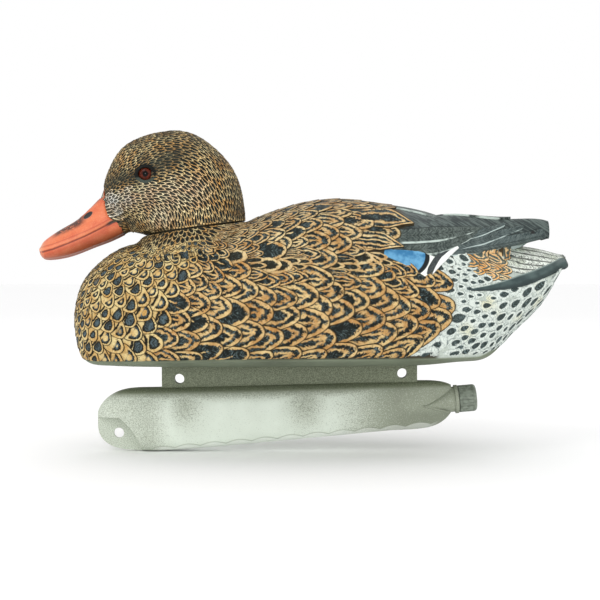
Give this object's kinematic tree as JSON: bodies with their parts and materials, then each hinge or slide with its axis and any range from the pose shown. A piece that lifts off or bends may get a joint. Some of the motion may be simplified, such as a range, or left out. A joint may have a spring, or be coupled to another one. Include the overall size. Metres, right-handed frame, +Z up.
{
  "type": "floating duck decoy",
  "caption": "Life-size floating duck decoy with a turning head and a sand-filled keel that closes with a screw cap and has line and rigging holes.",
  "frame": {"origin": "on the floor plane under the middle of the decoy, at the lowest line of the keel", "axes": "-X out of the bill, +X towards the tail, -Y the duck's left side, +Z up"},
  "size_m": [0.3984, 0.1612, 0.2441],
  "materials": {
    "body_plumage": "matte hand-painted plumage: tan feather rims over dark centres",
    "head_plumage": "matte painted plumage with fine tan and dark streaks, orange bill",
    "neck_plastic": "plain moulded plastic",
    "seal_rubber": "soft black rubber",
    "eye_gloss": "clear glossy brown eye with a black pupil",
    "keel_plastic": "matte pale grey-green sprayed over drab olive plastic",
    "ballast_sand": "dry packed sand",
    "cap_plastic": "matte moulded grey plastic with light overspray",
    "plug_plastic": "small black plastic plug"
  },
  "bodies": {
    "hull": {"body_shell": "body_plumage", "neck_socket": "neck_plastic", "keel_shell": "keel_plastic", "keel_ballast": "ballast_sand", "vent_plug": "plug_plastic"},
    "head": {"head_shell": "head_plumage", "neck_plug": "neck_plastic", "neck_o_ring": "seal_rubber", "left_eye": "eye_gloss", "right_eye": "eye_gloss"},
    "cap_seal": {"cap_liner": "seal_rubber"},
    "cap": {"keel_cap": "cap_plastic"}
  },
  "joints": [
    {"name": "head_swivel", "type": "hinge", "parent": "hull", "child": "head", "pos_m": [-0.082, 0, 0.1695], "axis": [-0.14, 0, 0.9901], "range_deg": [-85, 85]},
    {"name": "cap_lift", "type": "slide", "parent": "hull", "child": "cap_seal", "axis": [0.9962, 0, 0.0872], "range_m": [0, 0.00899]},
    {"name": "cap_turn", "type": "hinge", "parent": "cap_seal", "child": "cap", "pos_m": [0.113, 0, 0.0391], "axis": [0.9962, 0, 0.0872], "range_deg": [0, 1080]}
  ],
  "couplings": [
    {"joint": "cap_turn", "follows": "cap_lift", "rad_per_m": 2094.4}
  ]
}
